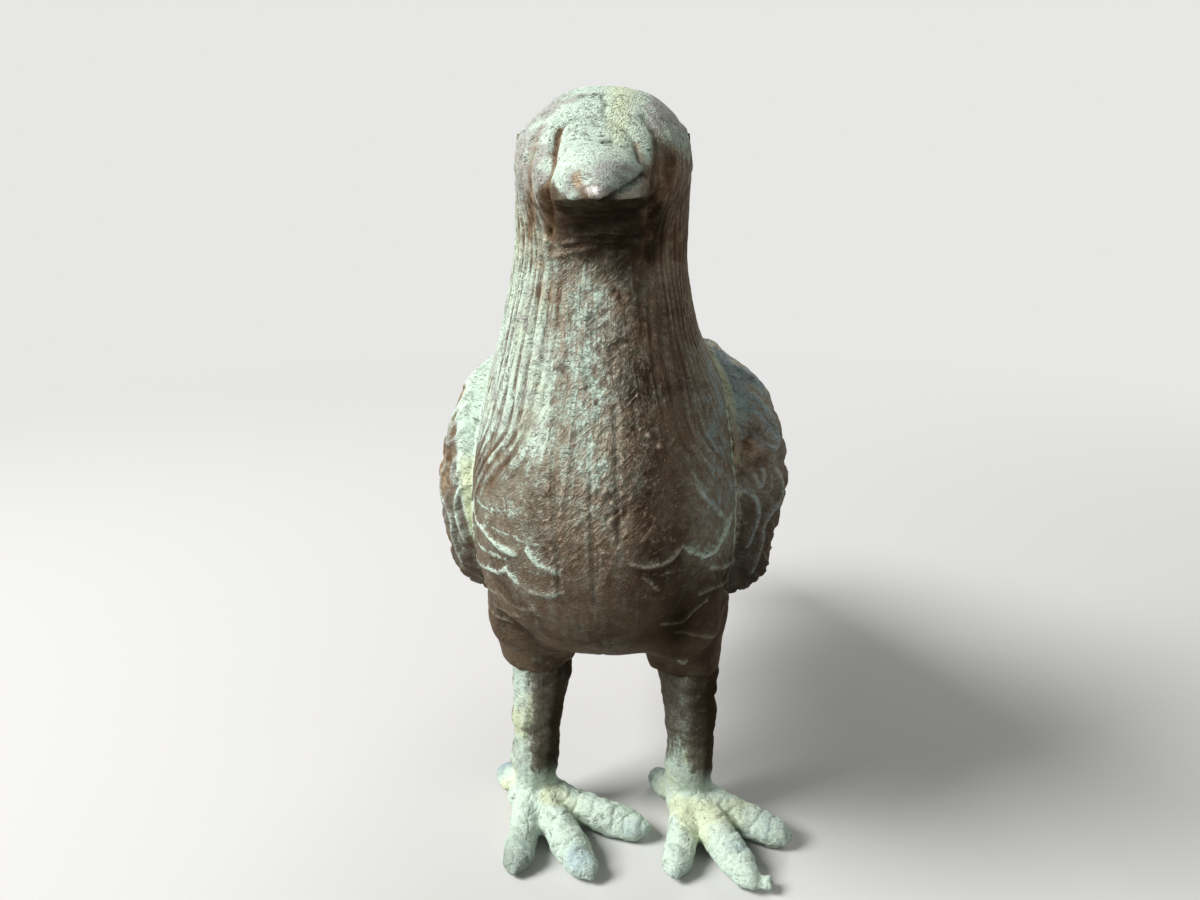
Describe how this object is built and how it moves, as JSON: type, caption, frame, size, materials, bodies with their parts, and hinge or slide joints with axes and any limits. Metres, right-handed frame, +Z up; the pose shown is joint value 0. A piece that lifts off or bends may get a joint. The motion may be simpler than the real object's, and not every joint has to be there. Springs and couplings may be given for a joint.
{
  "type": "bird figurine",
  "caption": "Cast metal pigeon standing on splayed feet: hollow body in two half shells, with separate wings, tail fan, pinned legs and bead eyes.",
  "frame": {"origin": "on the ground, under the middle of the whole bird's box", "axes": "+Z up, the bird faces -Y, and the bird's own left is +X"},
  "size_m": [0.0996, 0.1976, 0.2],
  "materials": {
    "bronze_body": "rough sand-cast bronze, brown with thin pale green verdigris",
    "bronze_wing": "rough sand-cast bronze with feather relief, green in the hollows and rust orange in patches",
    "patina_leg": "thick matt pale green verdigris over cast bronze",
    "pin_metal": "dull brown-green bronze pin end",
    "eye_bead": "worn orange-brown bronze bead"
  },
  "bodies": {
    "root": {"body_left": "bronze_body", "body_right": "bronze_body", "wing_left": "bronze_wing", "wing_right": "bronze_wing", "tail": "bronze_wing", "leg_left": "patina_leg", "leg_right": "patina_leg", "leg_pin_left": "pin_metal", "leg_pin_right": "pin_metal", "eye_left": "eye_bead", "eye_right": "eye_bead"}
  },
  "joints": []
}
